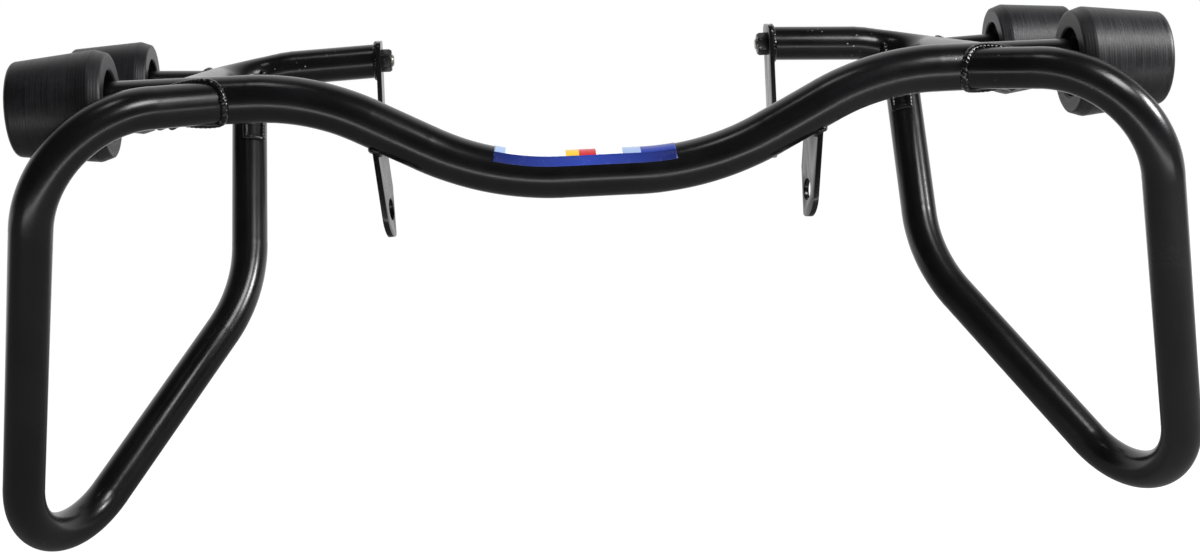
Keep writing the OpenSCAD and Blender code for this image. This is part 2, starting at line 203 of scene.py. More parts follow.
enamelValues = {
    "colour": "#070708",
    "haze": "#0e0e10",
    "hazeNoise": (45.0, 4.0, 0.6),
    "hazeSpan": (0.35, 0.70),
    "ior": 1.46,
    "roughness": (0.17, 0.26),
    "roughSpan": (0.30, 0.75),
    "gritNoise": (0.7, 3.0, 0.6),
    "gritShare": 0.06,          # roughness that the finest grit adds at most
    "peelNoise": (2.2, 2.0, 0.5),   # orange peel
    "peelHeight": 0.010,
    "nibSpacing": 9.0,          # mm between dust specks caught in the paint
    "nibSpan": (0.05, 0.0),
    "nibHeight": 0.05,
    "speckSpacing": 4.0,        # mm between weld spatter specks
    "speckSpan": (0.15, 0.08),
    # pale grey of the bare spatter specks, also used for the painted glints on the weld
    "speckAndGlintColour": "#8c8a86",
    "patchNoise": (14.0, 2.0, 0.5),   # the specks come in patches
    "patchSpan": (0.50, 0.60),
    # where the torch spat, and by the saddle where the weld also gets painted glints: place and reach in mm,
    # the same on both sides
    "spatterRail": (178.0, 240.0, -2.0, 34.0),
    "spatterAndGlintSaddle": (199.0, -10.0, 3.0, 20.0),
    "spatterMiddle": 0.3,       # share of the reach that is fully covered
}
weldCoatValues = {
    "lumpHeight": 0.058,        # mm, in place of the orange peel
    "smoother": 0.07,           # roughness less than on the tubes
    "paintedGlintNoise": (1.6, 3.0, 0.7),   # painted glints: pale patches on the bead crests by the saddle that stand in for highlights
    "paintedGlintSpan": (0.60, 0.68),
}


def nearSpot(tree, where, spot):
    # 1 at a spot and its mirror place, 0 beyond its reach
    split = addNode(tree, "ShaderNodeSeparateXYZ", None, {0: where})
    across = maths(tree, "ABSOLUTE", split.outputs[0])
    point = addNode(tree, "ShaderNodeCombineXYZ", None, {0: across, 1: split.outputs[1], 2: split.outputs[2]})
    centre = tuple(k * mm for k in spot[:3])
    gap = addNode(tree, "ShaderNodeVectorMath", {"operation": "DISTANCE", 1: centre}, {0: point.outputs[0]})
    reach = spot[3] * mm
    return mapped(tree, gap.outputs["Value"], (reach, enamelValues["spatterMiddle"] * reach))


def blackEnamelMaterial(name, weld=None):
    # sprayed gloss enamel on mild steel: near-black, a soft orange peel, dust nibs, hazy clouds and spatter
    # specks; over weld metal it lies smoother on lumps, with painted glints: pale patches on the crests by
    # the saddle
    v = enamelValues
    material, tree = newMaterial(name)
    where = addNode(tree, "ShaderNodeTexCoord").outputs["Object"]
    cloud = noise(tree, where, *v["hazeNoise"])
    colour = mixedColour(tree, mapped(tree, cloud, v["hazeSpan"]), v["colour"], v["haze"])
    rail = nearSpot(tree, where, v["spatterRail"])
    saddle = nearSpot(tree, where, v["spatterAndGlintSaddle"])
    patch = mapped(tree, noise(tree, where, *v["patchNoise"]), v["patchSpan"])
    zone = maths(tree, "MULTIPLY", maths(tree, "MAXIMUM", rail, saddle), patch)
    bare = maths(tree, "MULTIPLY", dots(tree, where, v["speckSpacing"], v["speckSpan"]), zone)
    roughness, height = v["roughness"], v["peelHeight"]
    if weld:
        # painted glints: pale patches on the weld lumps' crests by the saddle stand in for highlights; they
        # are added to the spatter specks
        paintedGlint = mapped(tree, noise(tree, where, *weld["paintedGlintNoise"]), weld["paintedGlintSpan"])
        bare = maths(tree, "MINIMUM", maths(tree, "MULTIPLY_ADD", paintedGlint, saddle, bare), 1.0)
        roughness, height = [k - weld["smoother"] for k in roughness], weld["lumpHeight"]
    colour = mixedColour(tree, bare, colour, v["speckAndGlintColour"])
    rough = mapped(tree, cloud, v["roughSpan"], roughness)
    fine = maths(tree, "MULTIPLY_ADD", noise(tree, where, *v["gritNoise"]), v["gritShare"], rough)
    peel = bumped(tree, noise(tree, where, *v["peelNoise"]), height)
    nib = dots(tree, where, v["nibSpacing"], v["nibSpan"], "SMOOTHSTEP")
    principled(tree, {"IOR": v["ior"]}, colour, fine, bumped(tree, nib, v["nibHeight"], peel))
    return material


nylonValues = {
    "colour": "#0d0d10",
    "rubbed": "#232327",
    "rubbedSpan": (0.18, 0.42),
    "rubbedNoise": (18.0, 5.0, 0.65),
    "ior": 1.48,
    "roughness": (0.36, 0.52),
    "roughSpan": (0.3, 0.7),
    "linePitch": 1.5,      # mm between turning lines
    "linesRound": 6.0,     # the lines' breaks per metre round the puck
    "streak": {"Scale": 1.0, "Detail": 4.0, "Roughness": 0.7},
    "lineHeight": 0.05,
    "ridgeShare": 0.35,    # the even ridge against the uneven lines
}


def turnedNylonMaterial():
    # black nylon bar turned on a lathe: satin, with fine lines round it and a slightly greyer rubbed skin
    v = nylonValues
    material, tree = newMaterial("turnedBlackNylon")
    uv = addNode(tree, "ShaderNodeTexCoord").outputs["UV"]
    where = addNode(tree, "ShaderNodeTexCoord").outputs["Object"]
    perMetre = 1.0 / (v["linePitch"] * mm)
    stretch = {"Scale": (v["linesRound"], perMetre, 1.0)}
    stretched = addNode(tree, "ShaderNodeMapping", stretch, {"Vector": uv}).outputs["Vector"]
    lines = addNode(tree, "ShaderNodeTexNoise", v["streak"], {"Vector": stretched}).outputs["Fac"]
    along = addNode(tree, "ShaderNodeSeparateXYZ", None, {0: uv}).outputs["Y"]
    ridge = maths(tree, "SINE", maths(tree, "MULTIPLY", along, 2.0 * math.pi * perMetre))
    height = maths(tree, "MULTIPLY_ADD", ridge, v["ridgeShare"], lines)
    rubbed = maths(tree, "MULTIPLY", lines, noise(tree, where, *v["rubbedNoise"]))
    colour = mixedColour(tree, mapped(tree, rubbed, v["rubbedSpan"]), v["colour"], v["rubbed"])
    rough = mapped(tree, lines, v["roughSpan"], v["roughness"])
    principled(tree, {"IOR": v["ior"]}, colour, rough, bumped(tree, height, v["lineHeight"]))
    return material


zincValues = {
    "colour": "#b4b2ab",
    "dull": "#7c7a74",
    "dullNoise": (4.0, 6.0, 0.7),
    "dullSpan": (0.40, 0.68),
    "roughness": (0.24, 0.50),
    "roughSpan": (0.3, 0.7),
    "grainNoise": (0.5, 2.0, 0.5),
    "grainHeight": 0.02,
}


def zincPlatedMaterial():
    # bright zinc plate on rolled steel fasteners: pale metal, dulled in clouds, with fine handling scratches
    v = zincValues
    material, tree = newMaterial("zincPlatedSteel")
    where = addNode(tree, "ShaderNodeTexCoord").outputs["Object"]
    cloud = noise(tree, where, *v["dullNoise"])
    colour = mixedColour(tree, mapped(tree, cloud, v["dullSpan"]), v["colour"], v["dull"])
    rough = mapped(tree, cloud, v["roughSpan"], v["roughness"])
    grain = bumped(tree, noise(tree, where, *v["grainNoise"]), v["grainHeight"])
    principled(tree, {"Metallic": 1.0}, colour, rough, grain)
    return material


nutValues = {
    "paint": "#141416",
    "bare": "#9a9892",
    "chipNoise": (2.2, 5.0, 0.75),
    "chipSpan": (0.60, 0.66),
    "chipDepth": 0.05,
    "ior": 1.46,
    "roughness": (0.24, 0.42),
}


def paintedNutMaterial():
    # black paint over a zinc plated nut: near-black, with the plate showing where a spanner rubbed it
    v = nutValues
    material, tree = newMaterial("blackPaintOverZincNut")
    where = addNode(tree, "ShaderNodeTexCoord").outputs["Object"]
    chip = noise(tree, where, *v["chipNoise"])
    bare = mapped(tree, chip, v["chipSpan"])
    colour = mixedColour(tree, bare, v["paint"], v["bare"])
    rough = mapped(tree, chip, (0.0, 1.0), v["roughness"])
    principled(tree, {"IOR": v["ior"]}, colour, rough, bumped(tree, chip, v["chipDepth"]), {"Metallic": bare})
    return material


materials = {
    "enamel": blackEnamelMaterial("blackEnamelSprayedOnSteel"),
    "weld": blackEnamelMaterial("blackEnamelOverWeldMetal", weldCoatValues),
    "nylon": turnedNylonMaterial(),
    "zinc": zincPlatedMaterial(),
    "nut": paintedNutMaterial(),
}
print("materials made")


def place(piece, material, node):
    # material, body and the CAD node that the piece stands for
    piece.data.materials.clear()
    piece.data.materials.append(material)
    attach(piece, "root")
    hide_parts(node)


# ---- bent tubes

tubeValues = {
    "ringPoints": 72,
    "step": 1.5,            # mm between rings
    "witnessHeight": 0.06,  # the bending tool's ring at each end of a bend
    "witnessWidth": 1.1,
    "flatten": 0.018,       # share by which a bend's width in its plane and the one square to it differ
    "fade": 0.25,           # share of a bend over which that grows from nothing
    "fewestBendRings": 6,
}


def bentPath(corners, bends):
    # Runs and arcs: an arc of radius r starts r tan(turn / 2) before its corner, and its points are
    # centre + r (along sin a - inward cos a). Gives points, tangents, each bend's inward direction (faded to
    # nothing at the bend's ends and on runs), the marks where bends begin and end, and the running length.
    v = tubeValues
    corners = [np.asarray(c, float) for c in corners]
    headings = [unit(b - a) for a, b in zip(corners[:-1], corners[1:])]
    points, tangents, inwards, marks = [], [], [], []
    start = corners[0]
    travelled = 0.0
    for k, radius in enumerate(bends):
        before, after = headings[k], headings[k + 1]
        turn = math.acos(np.clip(before @ after, -1.0, 1.0))
        cut = radius * math.tan(turn / 2)
        inward = unit(after - (after @ before) * before)
        entry = corners[k + 1] - cut * before
        count = max(2, int(np.linalg.norm(entry - start) / v["step"]))
        t = np.linspace(0.0, 1.0, count, endpoint=False)[:, None]
        points.append(start + (entry - start) * t)
        tangents.append(np.broadcast_to(before, (count, 3)))
        inwards.append(np.zeros((count, 3)))
        travelled += np.linalg.norm(entry - start)
        marks.append(travelled)
        count = max(v["fewestBendRings"], int(radius * turn / v["step"]))
        a = np.linspace(0.0, turn, count, endpoint=False)[:, None]
        centre = entry + radius * inward
        points.append(centre + radius * (before * np.sin(a) - inward * np.cos(a)))
        tangents.append(before * np.cos(a) + inward * np.sin(a))
        fade = smoothStep(0.0, v["fade"], a / turn) * smoothStep(0.0, v["fade"], 1.0 - a / turn)
        inwards.append((inward * np.cos(a) - before * np.sin(a)) * fade)
        travelled += radius * turn
        marks.append(travelled)
        start = corners[k + 1] + cut * after
    count = max(2, int(np.linalg.norm(corners[-1] - start) / v["step"]))
    t = np.linspace(0.0, 1.0, count + 1)[:, None]
    points.append(start + (corners[-1] - start) * t)
    tangents.append(np.broadcast_to(headings[-1], (count + 1, 3)))
    inwards.append(np.zeros((count + 1, 3)))
    path = {"points": np.concatenate(points), "tangents": unit(np.concatenate(tangents)),
            "inwards": np.concatenate(inwards), "marks": marks}
    steps = np.linalg.norm(np.diff(path["points"], axis=0), axis=1)
    path["length"] = np.concatenate([[0.0], np.cumsum(steps)])
    return path


def sweptTube(name, path, radius, reference, side):
    # Ring at length s: P(s) + r(s, a) (cos a A + sin a B), with A = reference x tangent and B = tangent x A.
    # r = radius + witness rings, a little less in the bend's plane and more square to it.
    v = tubeValues
    tangent = path["tangents"]
    a = unit(np.cross(np.asarray(reference, float), tangent))
    b = np.cross(tangent, a)
    angle = np.linspace(0.0, 2.0 * math.pi, v["ringPoints"], endpoint=False)
    out = a[:, None] * np.cos(angle)[None, :, None] + b[:, None] * np.sin(angle)[None, :, None]
    across = np.einsum("ijk,ik->ij", out, path["inwards"]) ** 2
    amount = np.linalg.norm(path["inwards"], axis=1)[:, None] ** 2
    marks = np.array(path["marks"], float).reshape(1, -1)
    rings = np.exp(-((path["length"][:, None] - marks) / v["witnessWidth"]) ** 2).sum(1)
    r = radius + v["witnessHeight"] * rings[:, None] + radius * v["flatten"] * (0.5 * amount - across)
    points = path["points"][:, None] + out * r[..., None]
    u = np.linspace(0.0, 2.0 * math.pi * radius, v["ringPoints"] + 1)
    if side < 0:
        points = flipped(points, side)[:, ::-1]
    return gridPiece(name, points, u, path["length"])


crossTubeValues = {
    "radius": 12.7,
    "corners": [(-289, 0, 0), (-151.5, 0, 0), (-59, 0, -47.8), (59, 0, -47.8), (151.5, 0, 0), (289, 0, 0)],
    "bends": [130.5, 155, 155, 130.5],
}
sideTubeValues = {
    "radius": 11.1,
    "loopCorners": [(197, 0, -0.8), (281.5, -60.5, 0), (337.3, 23.2, -289.3), (214.7, 161, -132.6),
                    (215.2, 233.9, -10.5)],
    "loopBends": [60, 48, 110],
    "railCorners": [(130, 246, 3.4), (190, 246, 1), (232.5, 246, -6.5), (229, 4, -2)],
    "railBends": [46, 34],
    "stubRoot": (232, 217, -7.8),
    "stubRise": 2.4,
    "stubStart": 2.0,
    "stubLength": 75.3,
}
crossPath = bentPath(crossTubeValues["corners"], crossTubeValues["bends"])
crossSkin = sweptTube("crossTubeSkin", crossPath, crossTubeValues["radius"], (0, 1, 0), 1.0)
place(crossSkin, materials["enamel"], "cross_tube")

s = sideTubeValues
loopHeads = np.array(s["loopCorners"], float)
railHeads = np.array(s["railCorners"], float)
loopPath = bentPath(s["loopCorners"], s["loopBends"])
railPath = bentPath(s["railCorners"], s["railBends"])
stubRise = math.radians(s["stubRise"])
stubDirection = np.array([math.cos(stubRise), 0.0, math.sin(stubRise)])
stubRoot = np.array(s["stubRoot"], float)
stubPath = bentPath([stubRoot + s[key] * stubDirection for key in ("stubStart", "stubLength")], [])
loopNormal = unit(np.cross(loopHeads[2] - loopHeads[1], loopHeads[4] - loopHeads[2]))
sideSkins = {
    # node: piece name, path and the direction its rings are counted from
    "loop_tube": ("loopTubeSkin", loopPath, loopNormal),
    "rear_rail": ("rearRailSkin", railPath, (0, 0, 1)),
    "rear_stub": ("rearStubSkin", stubPath, (0, 1, 0)),
}
for sideName, side in sides.items():
    for node, (name, path, reference) in sideSkins.items():
        skin = sweptTube(name + "_" + sideName, path, s["radius"], reference, side)
        place(skin, materials["enamel"], node + "_" + sideName)
print("tubes swept")


# ---- turned pucks

puckValues = {
    "radius": 29.5, "length": 50.0, "taper": 6.2, "lip": 6.5, "faceStep": 2.0, "edge": 3.0, "edgePoints": 7,
    "recessRadius": 18.5, "recessDepth": 6.0, "seat": 33.0, "slip": 0.1, "web": 8.0, "pocketRadius": 15.0,
    "boltClearance": 5.3,
    # chamfers: inwards and back from the corner
    "recessEase": 0.6, "faceEase": (0.8, 0.5), "lipEase": (0.3, 0.9, 0.4), "pocketEase": 0.8,
    "frontStart": 256.0, "rearStart": 42.3,
    "ringPoints": 128, "profileStep": 0.6,
}


def puckProfile(tubeRadius):
    # radius and height round the puck's section, from the seat outwards, each edge eased by an arc or chamfer
    v = puckValues
    slope = math.tan(math.radians(v["taper"]))
    edgeZ = v["length"] - v["edge"]
    edgeR = v["radius"] - (edgeZ - v["lip"]) * slope - v["edge"]
    arc = np.radians(np.linspace(0, 90, v["edgePoints"]))
    web = v["seat"] + v["web"]
    seatR, faceR = tubeRadius + v["slip"], v["radius"] - v["faceStep"]
    lipR, lipFront, lipBack = v["lipEase"]
    pocketR, pocketEase = v["pocketRadius"], v["pocketEase"]
    corners = [(seatR, v["seat"]), (seatR, v["recessDepth"]), (v["recessRadius"], v["recessDepth"]),
               (v["recessRadius"], v["recessEase"]), (v["recessRadius"] + v["recessEase"], 0.0),
               (faceR - v["faceEase"][0], 0.0), (faceR, v["faceEase"][1]),
               (v["radius"] - lipR, v["lip"] - lipFront), (v["radius"], v["lip"] + lipBack)]
    corners += [(edgeR + v["edge"] * math.cos(a), edgeZ + v["edge"] * math.sin(a)) for a in arc]
    corners += [(pocketR + pocketEase, v["length"]), (pocketR, v["length"] - pocketEase), (pocketR, web),
                (v["boltClearance"], web), (v["boltClearance"], v["seat"])]
    corners = np.array(corners)
    parts = []
    for a, b in zip(corners[:-1], corners[1:]):
        count = max(1, int(np.linalg.norm(b - a) / v["profileStep"]))
        parts.append(a + (b - a) * np.linspace(0, 1, count, endpoint=False)[:, None])
    return np.concatenate(parts + [corners[-1:]])


def turnedPuck(name, tubeRadius, origin, axis, side):
    # The closed profile (r, h) turned round the axis: origin + h axis + r (cos a A + sin a B)
    v = puckValues
    profile = puckProfile(tubeRadius)
    a = unit(np.cross(axis, (0.0, 1.0, 0.0)))
    b = np.cross(axis, a)
    angle = np.linspace(0.0, 2.0 * math.pi, v["ringPoints"], endpoint=False)
    out = a * np.cos(angle)[:, None] + b * np.sin(angle)[:, None]
    points = origin + profile[:, None, 1:] * axis + profile[:, None, :1] * out[None]
    steps = np.linalg.norm(np.diff(profile, axis=0, append=profile[:1]), axis=1)
    length = np.concatenate([[0.0], np.cumsum(steps)])
    u = np.linspace(0.0, 2.0 * math.pi * v["radius"], v["ringPoints"] + 1)
    if side < 0:
        points = flipped(points, side)[:, ::-1]
    return gridPiece(name, points, u, length, rowsClosed=True)


crossDirection = np.array([1.0, 0.0, 0.0])
puckSeats = {
    # end: radius of the tube inside, face's middle and axis
    "front": (crossTubeValues["radius"], puckValues["frontStart"] * crossDirection, crossDirection),
    "rear": (s["radius"], stubRoot + puckValues["rearStart"] * stubDirection, stubDirection),
}
for sideName, side in sides.items():
    for end, (tubeRadius, origin, axis) in puckSeats.items():
        puck = turnedPuck(end + "Puck_" + sideName, tubeRadius, origin, axis, side)
        place(puck, materials["nylon"], end + "_slider_" + sideName)
print("pucks turned")


# ---- plates, tabs and fasteners: CAD solids with eased edges

easedValues = {
    # node: piece name, width of the eased edge, material and slot
    "mount_plate": ("mountPlateEased", 0.5, "enamel", "black_paint"),
    "frame_tab": ("frameTabEased", 0.5, "enamel", "black_paint"),
    "front_bolt": ("frontboltEased", 0.25, "zinc", "zinc"),
    "rear_bolt": ("rearboltEased", 0.25, "zinc", "zinc"),
    "plate_bolt": ("plateboltEased", 0.25, "zinc", "zinc"),
    "plate_nut": ("platenutEased", 0.25, "nut", "zinc"),
    "front_washer": ("frontwasherEased", 0.25, "zinc", "zinc"),
    "rear_washer": ("rearwasherEased", 0.25, "zinc", "zinc"),
}
bushNodes = ("front_bush", "rear_bush")
easeValues = {
    "merge": 1e-6,        # m between corners that are the same one
    "flatAngle": 0.6,     # degrees; faces closer than this become one
    "edgeAngle": 40.0,    # degrees; edges sharper than this are rounded
    "sharpAngle": 28.0,   # degrees; the shading breaks beyond this
    "segments": 2,
}


def easedCopy(name, node, width):
    # a merged copy of the CAD solid with its sharp edges rounded to the given width in mm
    v = easeValues
    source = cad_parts[node].data
    co = np.empty(len(source.vertices) * 3, np.float32)
    source.vertices.foreach_get("co", co)
    index = np.empty(len(source.loops), np.int32)
    source.loops.foreach_get("vertex_index", index)
    mesh = bpy.data.meshes.new(name)
    mesh.from_pydata(co.reshape(-1, 3).tolist(), [], index.reshape(-1, 3).tolist())
    work = bmesh.new()
    work.from_mesh(mesh)
    bmesh.ops.remove_doubles(work, verts=work.verts, dist=v["merge"])
    flat, sharp = math.radians(v["flatAngle"]), math.radians(v["edgeAngle"])
    bmesh.ops.dissolve_limit(work, angle_limit=flat, verts=work.verts, edges=work.edges)
    edges = [e for e in work.edges if len(e.link_faces) == 2 and e.calc_face_angle(0.0) > sharp]
    bmesh.ops.bevel(work, geom=edges, offset=width * mm, segments=v["segments"], profile=0.5, affect="EDGES",
                    clamp_overlap=True)
    for face in work.faces:
        face.smooth = True
    work.to_mesh(mesh)
    work.free()
    mesh.set_sharp_from_angle(angle=math.radians(v["sharpAngle"]))
    piece = bpy.data.objects.new(name, mesh)
    bpy.context.scene.collection.objects.link(piece)
    return piece


for sideName in sides:
    for node, (name, width, finish, slotName) in easedValues.items():
        piece = easedCopy(name + "_" + sideName, node + "_" + sideName, width)
        place(piece, materials[finish], node + "_" + sideName)
    for node in bushNodes:
        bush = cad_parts[node + "_" + sideName]
        bush.data.materials.clear()
        bush.data.materials.append(materials["zinc"])
print("plates, tabs and fasteners eased")


# ---- weld beads

weldValues = {
    "ripplePitch": 2.3,     # mm between the crescents that each pause of the torch leaves
    "rippleDepth": 0.13,    # share of the bead's radius
    "rippleLean": 0.45,     # share of a pitch by which a crescent bows along the bead
    "wander": 0.10,
    "wanderWaves": 6,
    "stretch": 0.25,        # share of a pitch by which the pauses come early or late
    "stretchWaves": 3,
    "ringPoints": 20,
    "perRipple": 8,
    "bigBead": 2.1,
    "smallBead": 1.8,
    "seamLines": 360,
    "seamSteps": 220,
    "seamReference": (0.31, 0.17, 0.93),   # any direction that no branch runs along
    "softenings": 3,
}


def distanceToPath(points, path):
    # shortest distance from each point to the sampled centre line, as one array
    flat = points.reshape(-1, 3)
    best = np.full(len(flat), np.inf)
    for block in np.array_split(path["points"], max(1, len(path["points"]) // 64)):
        gap = np.linalg.norm(flat[:, None] - block[None], axis=2).min(1)
        best = np.minimum(best, gap)
    return best.reshape(points.shape[:-1])


def seamCurve(root, toward, branchRadius, mainPath, mainRadius, reach):
    # each line of the branch's skin, root + r D(a) + t d, is followed inwards until it meets the main tube's
    v = weldValues
    direction = unit(toward)
    a = unit(np.cross(direction, v["seamReference"]))
    b = np.cross(direction, a)
    angle = np.linspace(0.0, 2.0 * math.pi, v["seamLines"], endpoint=False)
    ring = root + branchRadius * (a * np.cos(angle)[:, None] + b * np.sin(angle)[:, None])
    t = np.linspace(reach, -branchRadius, v["seamSteps"])
    grid = ring[:, None] + t[None, :, None] * direction
    gap = distanceToPath(grid, mainPath) - mainRadius
    first = np.maximum(np.argmax(gap <= 0.0, axis=1), 1)
    rows = np.arange(v["seamLines"])
    g0, g1 = gap[rows, first - 1], gap[rows, first]
    share = np.clip(g0 / np.maximum(g0 - g1, 1e-9), 0.0, 1.0)
    at = t[first - 1] + (t[first] - t[first - 1]) * share
    return ring + at[:, None] * direction


def resampledLoop(points, count):
    # the closed curve again with equal steps, softened a little by its neighbours, and its length
    for _ in range(weldValues["softenings"]):
        points = 0.5 * points + 0.25 * (np.roll(points, 1, 0) + np.roll(points, -1, 0))
    closed = np.concatenate([points, points[:1]])
    length = np.concatenate([[0.0], np.cumsum(np.linalg.norm(np.diff(closed, axis=0), axis=1))])
    at = np.linspace(0.0, length[-1], count, endpoint=False)
    return np.stack([np.interp(at, length, closed[:, k]) for k in range(3)], -1), length[-1]


def weldBead(name, curve, away, radius, side, seed):
    # A round cord along the closed seam: C(s) + rho (cos q N + sin q B), where rho carries the crescents
    # 1 - |2 frac(phase)^0.8 - 1|^1.6, whose phase grows by one a ripple and leans with cos q, and the slow
    # wander of the hand.
    v = weldValues
    rng = np.random.default_rng(seed)
    total = resampledLoop(curve, len(curve))[1]
    ripples = max(6, int(round(total / v["ripplePitch"])))
    count = ripples * v["perRipple"]
    points, total = resampledLoop(curve, count)
    tangent = unit(np.roll(points, -1, 0) - np.roll(points, 1, 0))
    normal = points - np.asarray(away, float)
    normal = unit(normal - np.sum(normal * tangent, 1, keepdims=True) * tangent)
    binormal = np.cross(tangent, normal)
    q = np.linspace(0.0, 2.0 * math.pi, v["ringPoints"], endpoint=False)
    s01 = np.arange(count) / count
    phases = rng.uniform(0, 2 * math.pi, v["wanderWaves"])
    around = 2 * math.pi * s01
    wander = sum(np.sin((k + 2) * around + phase) / (k + 2) for k, phase in enumerate(phases))
    late = v["stretch"] * sum(np.sin((k + 3) * around + phases[-1 - k]) for k in range(v["stretchWaves"]))
    phase = s01[:, None] * ripples + late[:, None] + v["rippleLean"] * np.cos(q)[None]
    crescent = 1.0 - np.abs(2.0 * (phase - np.floor(phase)) ** 0.8 - 1.0) ** 1.6
    rho = radius * (1.0 + v["rippleDepth"] * (crescent - 0.5) + v["wander"] * wander[:, None])
    out = normal[:, None] * np.cos(q)[None, :, None] + binormal[:, None] * np.sin(q)[None, :, None]
    skin = points[:, None] + out * rho[..., None]
    if side < 0:
        skin = flipped(skin, side)[:, ::-1]
    u = np.linspace(0.0, 2.0 * math.pi * radius, v["ringPoints"] + 1)
    return gridPiece(name, skin, u, np.linspace(0.0, total, count + 1), rowsClosed=True)


plateValues = {"lean": 1.2, "out": 2.0, "clear": 0.2, "beadPoints": 240}


def plateSeam():
    # round the rail on the plate's outer face: end + out P + r (cos a up + sin a back)
    v = plateValues
    lean = math.radians(v["lean"])
    out = np.array([math.cos(lean), 0.0, math.sin(lean)])
    up = np.array([-math.sin(lean), 0.0, math.cos(lean)])
    a = np.linspace(0.0, 2.0 * math.pi, v["beadPoints"], endpoint=False)[:, None]
    ring = np.cos(a) * up + np.sin(a) * np.array([0.0, 1.0, 0.0])
    return railHeads[0] + v["out"] * out + (s["radius"] + v["clear"]) * ring


tabValues = {
    "offset": 119.0, "back": 9.0, "fall": 16.795, "lean": 5.0, "turn": 8.0, "thickness": 3.0, "clear": 0.3,
    "front": -12.5, "rear": 2.6, "beadMiddle": 12.0,
    "linePoints": 90, "arcPoints": 60, "drop": 30.0, "dropSteps": 300,
}


def tabSeam():
    # The tab's footprint, two straight runs and two half rounds, dropped along the tab until each point
    # comes out of the sloping tube. Also gives the point that the bead faces away from.
    v = tabValues
    lean, spin = math.radians(v["lean"]), math.radians(v["turn"])
    down = -np.array([math.sin(lean), 0.0, math.cos(lean)])
    back = np.array([-math.sin(spin) * math.cos(lean), math.cos(spin), math.sin(spin) * math.sin(lean)])
    face = np.cross(back, down)
    root = np.array([v["offset"], v["back"], -v["fall"]])
    tubeRoot = np.array([v["offset"], 0.0, -v["fall"]])
    thin = v["thickness"] / 2 + v["clear"]
    t = np.linspace(0.0, 1.0, v["linePoints"])[:, None] * (v["rear"] - v["front"])
    a = np.linspace(0.0, math.pi, v["arcPoints"])[:, None]
    cap = thin * (np.cos(a) * face + np.sin(a) * back)
    runOut = root + (v["front"] + t) * back + thin * face
    runIn = root + (v["rear"] - t) * back - thin * face
    outline = np.concatenate([runOut[:-1], (root + v["rear"] * back + cap)[:-1], runIn[:-1],
                              (root + v["front"] * back - cap)[:-1]])
    crossHeads = np.array(crossTubeValues["corners"], float)
    slope = unit(crossHeads[4] - crossHeads[3])
    trial = outline[:, None] + np.linspace(0.0, v["drop"], v["dropSteps"])[None, :, None] * down
    offAxis = trial - tubeRoot
    offAxis = np.linalg.norm(offAxis - (offAxis @ slope)[..., None] * slope, axis=2)
    lowest = np.argmax(offAxis >= crossTubeValues["radius"], axis=1)
    return trial[np.arange(len(outline)), lowest], root + v["beadMiddle"] * down


crossEnd = {"points": np.linspace((150, 0, 0), (289, 0, 0), 281)}
onCross, onRail = (crossEnd, crossTubeValues["radius"]), (railPath, s["radius"])
saddleMiddle = loopHeads[0] + [20, -10, 0]
branches = {
    # seam: the branch's root and direction, the tube it stands on, how far out its skin is followed,
    # the point the bead faces away from, and the bead's radius
    "saddle": (loopHeads[0], loopHeads[1] - loopHeads[0], onCross, 60, saddleMiddle, "bigBead"),
    "rail": (railHeads[3], railHeads[2] - railHeads[3], onCross, 40, railHeads[3], "smallBead"),
    "leg": (loopHeads[4], loopHeads[3] - loopHeads[4], onRail, 40, loopHeads[4], "smallBead"),
    "stub": (stubRoot, stubDirection, onRail, 30, stubRoot, "bigBead"),
}
seams = {}
for label, (root, toward, (mainPath, mainRadius), reach, away, size) in branches.items():
    seams[label] = (seamCurve(root, toward, s["radius"], mainPath, mainRadius, reach), away, size)
seams["plate"] = (plateSeam(), railHeads[0], "smallBead")
seams["tab"] = (*tabSeam(), "smallBead")
for number, (label, (curve, away, size)) in enumerate(seams.items()):
    for sideName, side in sides.items():
        seed = 10 * number + (side > 0)
        bead = weldBead(label + "WeldBead_" + sideName, curve, away, weldValues[size], side, seed)
        place(bead, materials["weld"], label + "_weld_" + sideName)
print("welds laid:", ", ".join(seams))


# ---- label

labelValues = {
    "span": (-59.0, 42.0), "arc": (-12.0, 64.0), "film": 0.25, "clear": 0.02, "fall": 47.8, "bend": 155.0,
    "flatHalf": 21.31, "alongPoints": 120, "roundPoints": 40,
    "white": "#f0f1f4", "blue": "#2a3f9c", "darkBlue": "#16225e", "yellow": "#f2c22c", "red": "#c92a2c",
    "pale": "#9fb4d8",
    # plain fields from the left end on, over a blue band that takes up the rest of the film's width
    "fields": [(0.0, "pale"), (0.06, "white"), (0.40, "yellow"), (0.47, "red"), (0.56, "white"),
               (0.70, "pale"), (0.80, "blue")],
    "band": [(0.0, "darkBlue"), (0.5, "blue"), (1.0, "darkBlue")],
    "bandFrom": 0.62,
    "ior": 1.5, "roughness": (0.18, 0.34), "dirtNoise": (6.0, 5.0, 0.5), "dirtHeight": 0.03,
}


